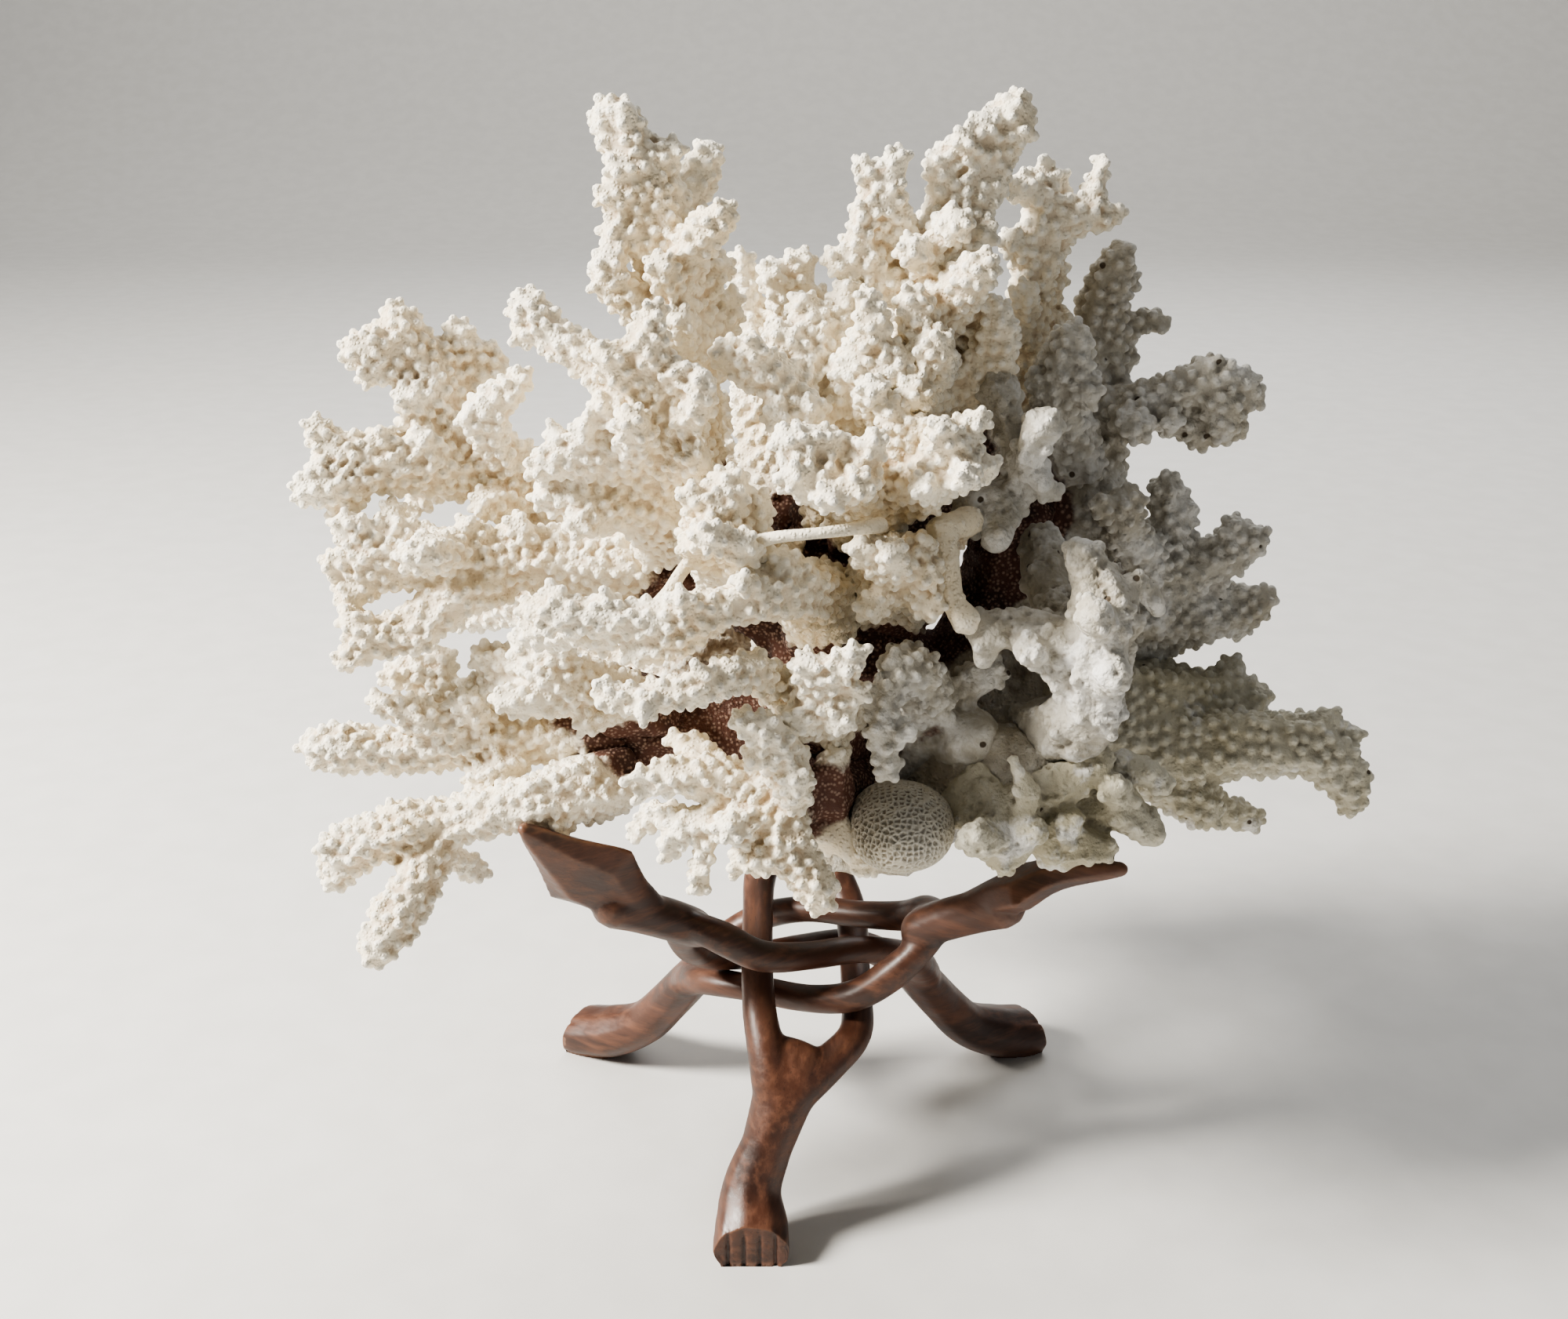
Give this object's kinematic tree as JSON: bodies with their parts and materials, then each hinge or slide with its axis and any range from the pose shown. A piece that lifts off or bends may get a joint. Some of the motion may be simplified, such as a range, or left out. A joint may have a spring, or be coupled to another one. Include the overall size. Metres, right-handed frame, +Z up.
{
  "type": "coral ornament on a carved stand",
  "caption": "Dead branching coral specimen with knobbly white and grey branches, a honeycomb coral dome and shelf lobes, resting on a folding carved wooden serpent stand.",
  "frame": {"origin": "centre of the bounding box in plan, at the floor plane that the three carved feet stand on", "axes": "+Z up; the front of the coral, the side with the single front leg and its carved toes, faces -Y; +X is to the right seen from the front"},
  "size_m": [0.2598, 0.1652, 0.2759],
  "materials": {
    "carved_wood": "satin, hand carved, reddish brown",
    "coral_brown": "matt, stained brown, encrusted, stands in for coral skeleton",
    "coral_white": "matt, bleached, knobbly, stands in for coral skeleton",
    "coral_grey": "matt, chalky grey to greenish beige, crusted, stands in for coral skeleton"
  },
  "bodies": {
    "root": {"stand_front_limb": "carved_wood", "stand_left_limb": "carved_wood", "stand_right_limb": "carved_wood", "coral_stem": "coral_brown", "coral_low_left": "coral_white", "coral_left": "coral_white", "coral_left_tuft": "coral_white", "coral_left_arm": "coral_white", "coral_upper_left": "coral_white", "coral_crown_left": "coral_white", "coral_crown_left_front": "coral_white", "coral_crown_middle_back": "coral_white", "coral_crown_middle": "coral_white", "coral_crown_right": "coral_white", "coral_crest_right": "coral_white", "coral_right_high": "coral_grey", "coral_bored_knob": "coral_grey", "coral_right": "coral_grey", "coral_right_low": "coral_grey", "coral_crust_column": "coral_grey", "coral_bony_twig": "coral_white", "coral_crust_lobes": "coral_grey", "honeycomb_coral": "coral_grey", "coral_front_low": "coral_white", "coral_front_tips": "coral_white", "coral_front_column": "coral_grey", "coral_front_row": "coral_white", "coral_front_stub": "coral_white", "coral_centre_lumps": "coral_white", "coral_centre_fan": "coral_white", "coral_back_left": "coral_white", "coral_back_crown": "coral_white", "coral_back_middle": "coral_white", "coral_back_right": "coral_grey", "coral_back_top": "coral_white"}
  },
  "joints": []
}
